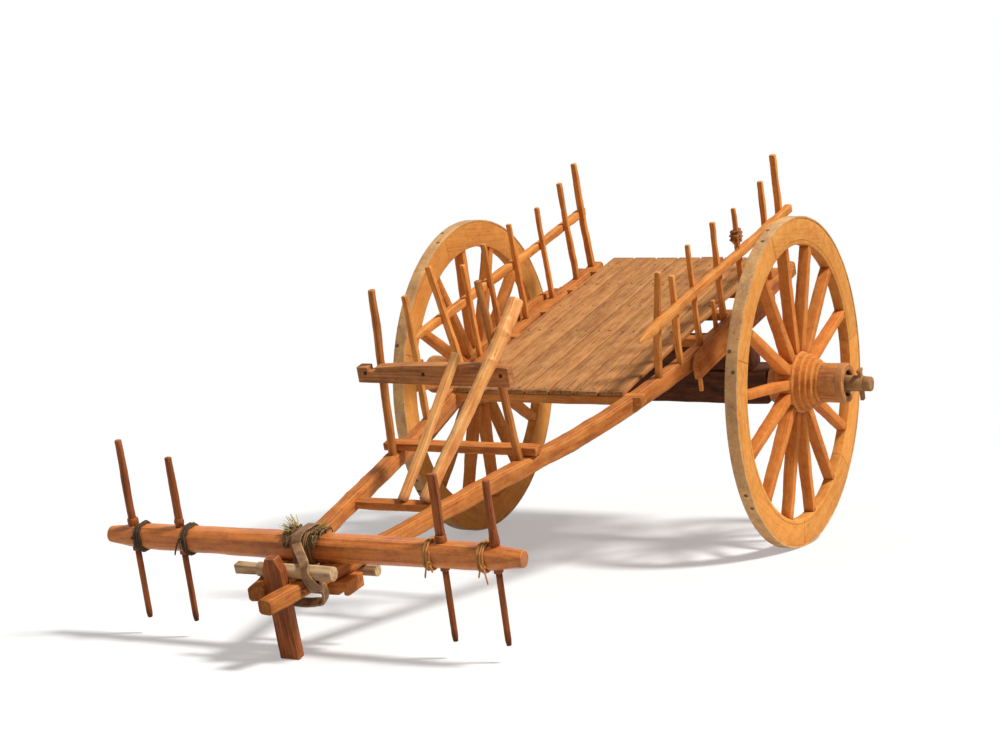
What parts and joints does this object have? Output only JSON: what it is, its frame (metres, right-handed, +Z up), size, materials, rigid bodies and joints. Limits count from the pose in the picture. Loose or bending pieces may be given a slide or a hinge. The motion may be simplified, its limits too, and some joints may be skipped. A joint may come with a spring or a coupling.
{
  "type": "bullock cart",
  "caption": "Two-wheeled wooden cart with spoked wheels, an open slatted bed, two beams that converge into a pole, a prop leg and a swivelling yoke with neck pins.",
  "frame": {"origin": "on the ground, at the middle of the footprint's bounding box", "axes": "+X to the cart's left along the axle, +Y to the rear, +Z up; the pole points to -Y"},
  "size_m": [2.31, 3.8316, 1.7285],
  "materials": {
    "iron": "worn and dusty",
    "rawhide": "dark, greasy",
    "rope": "twisted plant fibre",
    "wheel_timber": "oiled hardwood, dusty",
    "polished_timber": "polished by use",
    "dark_timber": "dark, stained",
    "grey_timber": "weathered grey",
    "timber": "oiled hardwood, dusty"
  },
  "bodies": {
    "cart": {"axle": "dark_timber", "linchpin_left": "iron", "linchpin_right": "iron", "bolster": "dark_timber", "bed_crossbars": "timber", "floor_planks": "timber", "beam_left": "timber", "stakes_left": "timber", "rail_left": "timber", "tall_stake_left": "timber", "cheek_left": "timber", "cheek_pegs_left": "timber", "beam_right": "timber", "stakes_right": "timber", "rail_right": "timber", "tall_stake_right": "timber", "cheek_right": "timber", "cheek_pegs_right": "timber", "stake_rope": "rope", "front_crossbar": "timber", "front_sleeper": "timber", "pole_spreader": "timber", "leaning_pole": "timber", "leaning_branch": "timber", "pole_leg": "polished_timber", "leg_pin": "timber", "pole_peg": "grey_timber", "under_block": "timber", "under_log": "grey_timber", "pole_strap": "rawhide", "hold_strap": "rawhide"},
    "wheel_left": {"wheel_left_tyre": "iron", "wheel_left_felloes": "wheel_timber", "wheel_left_spokes": "wheel_timber", "wheel_left_nave": "wheel_timber", "wheel_left_nave_bands": "iron", "wheel_left_nave_liner": "iron"},
    "wheel_right": {"wheel_right_tyre": "iron", "wheel_right_felloes": "wheel_timber", "wheel_right_spokes": "wheel_timber", "wheel_right_nave": "wheel_timber", "wheel_right_nave_bands": "iron", "wheel_right_nave_liner": "iron"},
    "yoke": {"yoke": "polished_timber", "yoke_pin_left_outer": "polished_timber", "yoke_pin_left_inner": "polished_timber", "yoke_pin_right_inner": "polished_timber", "yoke_pin_right_outer": "polished_timber", "yoke_binding": "rope", "pin_lashings": "rope"}
  },
  "joints": [
    {"name": "wheel_left_spin", "type": "hinge", "parent": "cart", "child": "wheel_left", "pos_m": [0, 1.18584, 0.73], "axis": [1, 0, 0], "continuous": true},
    {"name": "wheel_right_spin", "type": "hinge", "parent": "cart", "child": "wheel_right", "pos_m": [0, 1.18584, 0.73], "axis": [1, 0, 0], "continuous": true},
    {"name": "yoke_swivel", "type": "hinge", "parent": "cart", "child": "yoke", "pos_m": [0, -1.54467, 0.38807], "axis": [0, -0.215, 0.9766], "range_deg": [-20, 20]}
  ]
}
